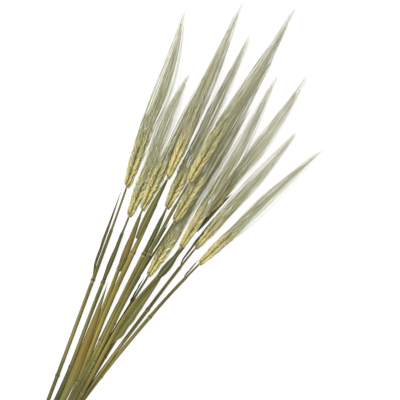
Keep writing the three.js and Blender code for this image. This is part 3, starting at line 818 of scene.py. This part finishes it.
bowed = (beyond * math.pi).math("SINE") * size["Sway"]
awn_x = start_x.towards(out * turn.math("COSINE"), freed) + (waver[0] - 0.5) * sway + bowed
awn_z = start_z.towards(out * turn.math("SINE"), freed) + (waver[1] - 0.5) * sway
awn_spot = joined(tree, awn_x, size["Neck"] + up, awn_z)
awn_count = size["Grains"] * float(AWN_POINTS)
bristles = place(tree, "GeometryNodePoints", {"Count": awn_count, "Position": awn_spot}).outputs[0]
bristles = noted(tree, bristles, "awn_run", awn_run)
bristles = noted(tree, bristles, "tint", drawn(tree, size, 0.0, 1.0, awn, 10))
curve_entries = {"Points": bristles, "Curve Group ID": awn, "Weight": awn_run}
bristles = place(tree, "GeometryNodePointsToCurves", curve_entries).outputs[0]
fine = Amount(tree, tree.nodes.new("GeometryNodeSplineParameter").outputs["Factor"])
taper = (1.0 - fine ** 0.8) * (AWN_RADIUS - AWN_TIP_RADIUS) + AWN_TIP_RADIUS
ring = place(tree, "GeometryNodeCurvePrimitiveCircle", {"Resolution": 3, "Radius": 1.0}).outputs[0]
awn_entries = {"Curve": bristles, "Profile Curve": ring, "Scale": taper, "Fill Caps": True}
bristles = place(tree, "GeometryNodeCurveToMesh", awn_entries).outputs[0]
bristles = with_finish(tree, bristles, awn_finish)

axis_ends = {"Start": joined(tree, 0.0, size["Neck"] - AXIS_BELOW, 0.0),
             "End": joined(tree, 0.0, size["Neck"] + size["Ear length"] - AXIS_SHORT, 0.0)}
axis = place(tree, "GeometryNodeCurvePrimitiveLine", axis_ends).outputs[0]
axis = place(tree, "GeometryNodeResampleCurve", {"Curve": axis, "Count": AXIS_RINGS}).outputs[0]
axis_run = Amount(tree, tree.nodes.new("GeometryNodeSplineParameter").outputs["Length"])
axis_share = Amount(tree, tree.nodes.new("GeometryNodeSplineParameter").outputs["Factor"])
knots = ((axis_run / GRAIN_STEP) * math.tau).math("SINE") * 0.12 + 1.0
collar = axis_run.hump(COLLAR_AT, COLLAR_WIDTH) * COLLAR_HEIGHT
axis_girth = axis_run.eased(0.0, 8.0 * MM) * (AXIS_RADIUS - NECK_RADIUS) + NECK_RADIUS
axis_girth = axis_girth * knots * (1.0 - axis_share.eased(0.8, 1.0) * 0.6) + collar
axis = noted(tree, axis, "axis_run", axis_share)
ring = place(tree, "GeometryNodeCurvePrimitiveCircle", {"Resolution": 8, "Radius": 1.0}).outputs[0]
axis_entries = {"Curve": axis, "Profile Curve": ring, "Scale": axis_girth, "Fill Caps": True}
axis = with_finish(tree, place(tree, "GeometryNodeCurveToMesh", axis_entries).outputs[0], axis_finish)

whole = tree.nodes.new("GeometryNodeJoinGeometry")
for made in (grains, bristles, axis):
    tree.links.new(made, whole.inputs[0])
end_tree(tree, laid_along(tree, whole.outputs[0], stalk, EAR_LOWEST))

for order, (name, ear) in enumerate(EARS.items()):
    line, neck, reach = lines[name]
    length = ear["length"] * MM
    steps = round((length - GRAIN_LENGTH * 0.75) / GRAIN_STEP)
    ear_values = {"Neck": neck, "Ear length": length, "Reach": reach, "Stout": ear["stout"],
                  "Brush": ear["brush"] * MM, "Sway": ear["sway"] * MM, "Grains": steps * 3,
                  "Spin": math.radians(ear["spin"]), "Gold": float(ear["gold"]),
                  "Painted light": float(ear["painted_light"]), "Seed": order + 1}
    grown("bearded_ear_" + name, ear_tree, line, ear_values, "ear_" + name)

# Table, light and camera. The bunch lies on a plain white table under a wide soft light from the upper left.
# The camera looks straight down on it, turned so that the stalks lean to the right.
VIEW_TURN = math.radians(31.5)
VIEW_CENTRE = (3.2 * MM, 293 * MM)
VIEW_WIDTH = 440 * MM
VIEW_LENS = 100.0
FILM_WIDTH = 36.0
CAMERA_FAR = 50.0
BUNCH_TOP = 10 * MM
TABLE_HALF = 4
TABLE_GREY = (0.16, 0.16, 0.16)
TABLE_GLOW = 0.9
ROOM_LIGHT = 0.58
SUN_STRENGTH = 2.4
SUN_WIDTH = math.radians(35)
SUN_HEIGHT = 2.5

table_finish, tree, shader = new_finish("white_table", 0.9, 0.2)
table_noise = mottle(tree, place(tree, "ShaderNodeTexCoord").outputs["Object"], 60.0, 2.0)
feed(tree, shader.inputs["Base Color"], shaded(tree, TABLE_GREY, table_noise * 0.02 + 0.98))
shader.inputs["Emission Color"].default_value = (1.0, 1.0, 1.0, 1.0)
shader.inputs["Emission Strength"].default_value = TABLE_GLOW
table_mesh = bpy.data.meshes.new("table")
table_corners = [(-TABLE_HALF, -TABLE_HALF, 0), (TABLE_HALF, -TABLE_HALF, 0),
                 (TABLE_HALF, TABLE_HALF, 0), (-TABLE_HALF, TABLE_HALF, 0)]
table_mesh.from_pydata(table_corners, [], [(0, 1, 2, 3)])
table_mesh.materials.append(table_finish)
table = bpy.data.objects.new("table", table_mesh)
bpy.context.scene.collection.objects.link(table)

sky = bpy.data.worlds.new("soft_room")
sky.use_nodes = True
sky.node_tree.nodes["Background"].inputs["Color"].default_value = (1.0, 1.0, 1.0, 1.0)
sky.node_tree.nodes["Background"].inputs["Strength"].default_value = ROOM_LIGHT
bpy.context.scene.world = sky

lamp_data = bpy.data.lights.new("window", "SUN")
lamp_data.energy = SUN_STRENGTH
lamp_data.angle = SUN_WIDTH
lamp = bpy.data.objects.new("window", lamp_data)
across, along = math.cos(VIEW_TURN), math.sin(VIEW_TURN)
upper_left = Vector((-across - along, across - along, SUN_HEIGHT))
lamp.rotation_euler = upper_left.to_track_quat("Z", "Y").to_euler()
bpy.context.scene.collection.objects.link(lamp)

camera_data = bpy.data.cameras.new("overhead")
camera_data.lens = VIEW_LENS
camera_data.sensor_width = FILM_WIDTH
camera_data.clip_end = CAMERA_FAR
camera = bpy.data.objects.new("overhead", camera_data)
camera.location = (*VIEW_CENTRE, VIEW_WIDTH * VIEW_LENS / FILM_WIDTH + BUNCH_TOP)
camera.rotation_euler = (0.0, 0.0, VIEW_TURN)
bpy.context.scene.collection.objects.link(camera)
bpy.context.scene.camera = camera
bpy.context.scene.view_settings.view_transform = "Standard"
